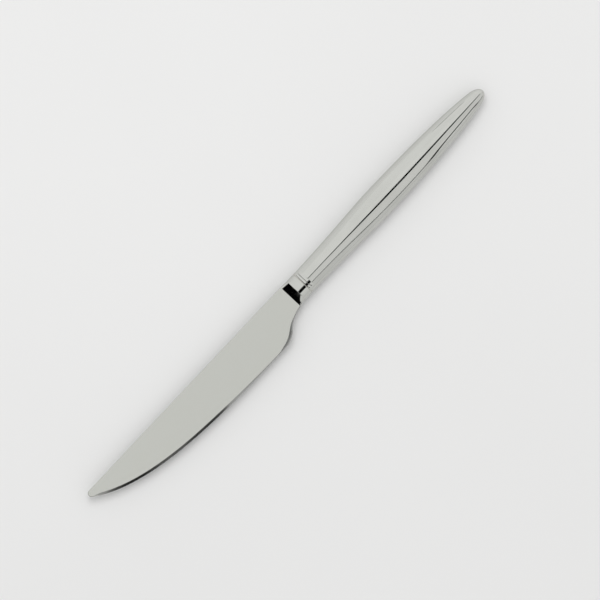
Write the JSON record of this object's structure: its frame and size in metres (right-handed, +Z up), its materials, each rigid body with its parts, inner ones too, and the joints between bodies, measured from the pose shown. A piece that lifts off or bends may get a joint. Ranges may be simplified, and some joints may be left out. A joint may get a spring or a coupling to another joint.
{
  "type": "dessert knife",
  "caption": "Steel dessert knife with a plain bellied blade, S-shaped choil, ramped bolster, beaded ferrule and a fluted spindle-shaped hollow handle.",
  "frame": {"origin": "middle of the knife's box, on the plane that its lowest point touches", "axes": "+X along the handle's axis to the point, +Y to the cutting edge, +Z up from the face that is seen"},
  "size_m": [0.2052, 0.0172, 0.0078],
  "materials": {
    "blade_steel": "satin polished stainless steel",
    "handle_steel": "bright polished stainless steel",
    "braze": "pale ground silver braze",
    "cement": "hard grey cement",
    "sand": "packed dry sand"
  },
  "bodies": {
    "root": {"blade": "blade_steel", "mouth_braze": "braze", "ferrule": "handle_steel", "handle_shell_front": "handle_steel", "handle_shell_back": "handle_steel", "seam_braze": "braze", "tang_cement": "cement", "sand_fill": "sand"}
  },
  "joints": []
}
